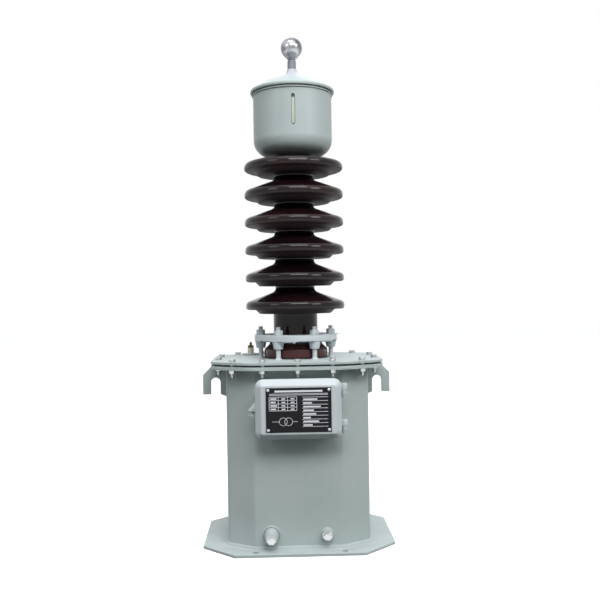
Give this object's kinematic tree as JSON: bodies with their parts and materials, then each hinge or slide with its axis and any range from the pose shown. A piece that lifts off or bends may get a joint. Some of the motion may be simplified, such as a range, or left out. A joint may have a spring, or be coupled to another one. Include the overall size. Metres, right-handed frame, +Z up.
{
  "type": "oil-immersed voltage transformer",
  "caption": "Outdoor oil-filled voltage transformer: octagonal steel tank, hinged terminal box, dark shedded porcelain bushing, and oil conservator with a ball terminal on top.",
  "frame": {"origin": "centre of the base plate's bolt holes, on the plate's underside", "axes": "+Z up along the bushing's axis, -Y towards the terminal box on the front, +X to the right seen from the front"},
  "size_m": [0.45, 0.3743, 1.1997],
  "materials": {
    "paint": "semi-gloss grey-green enamel",
    "porcelain": "dark brown glaze",
    "rubber": "black oil-resistant rubber",
    "zinc": "bright zinc plating",
    "ball": "polished plating",
    "level_glass": "clear gauge glass over oil",
    "label": "black anodised rating plate",
    "board": "brown laminate board",
    "brass": "plain brass",
    "tan_porcelain": "pale tan glaze"
  },
  "bodies": {
    "transformer": {"base_plate": "paint", "tank_shell": "paint", "tank_flange": "paint", "lid_gasket": "rubber", "tank_lid": "paint", "lid_bolts": "zinc", "lifting_hook_right": "paint", "lifting_hook_left": "paint", "seat_gasket": "rubber", "porcelain_bushing": "porcelain", "ring_packing": "rubber", "clamp_ring": "paint", "clamp_studs": "paint", "clamp_nuts": "paint", "crown_gasket": "rubber", "conservator_bowl": "paint", "level_glass": "level_glass", "cap_gasket": "rubber", "conservator_cap": "paint", "terminal_foot": "paint", "terminal_stem": "ball", "ball_terminal": "ball", "neutral_flange": "paint", "neutral_bushing": "tan_porcelain", "neutral_terminal": "brass", "box_body": "paint", "box_seal": "rubber", "box_knuckles": "paint", "hinge_pins": "zinc", "terminal_board": "board", "board_terminals": "brass", "cable_grommet": "rubber", "drain_boss": "paint", "drain_plug": "zinc", "earth_boss": "paint", "earth_bolt": "zinc"},
    "door": {"box_door": "paint", "door_knuckles": "paint", "rating_plate": "label"}
  },
  "joints": [
    {"name": "door_hinge", "type": "hinge", "parent": "transformer", "child": "door", "pos_m": [0.102, -0.1783, 0.326], "axis": [0, 0, 1], "range_deg": [0, 110]}
  ]
}
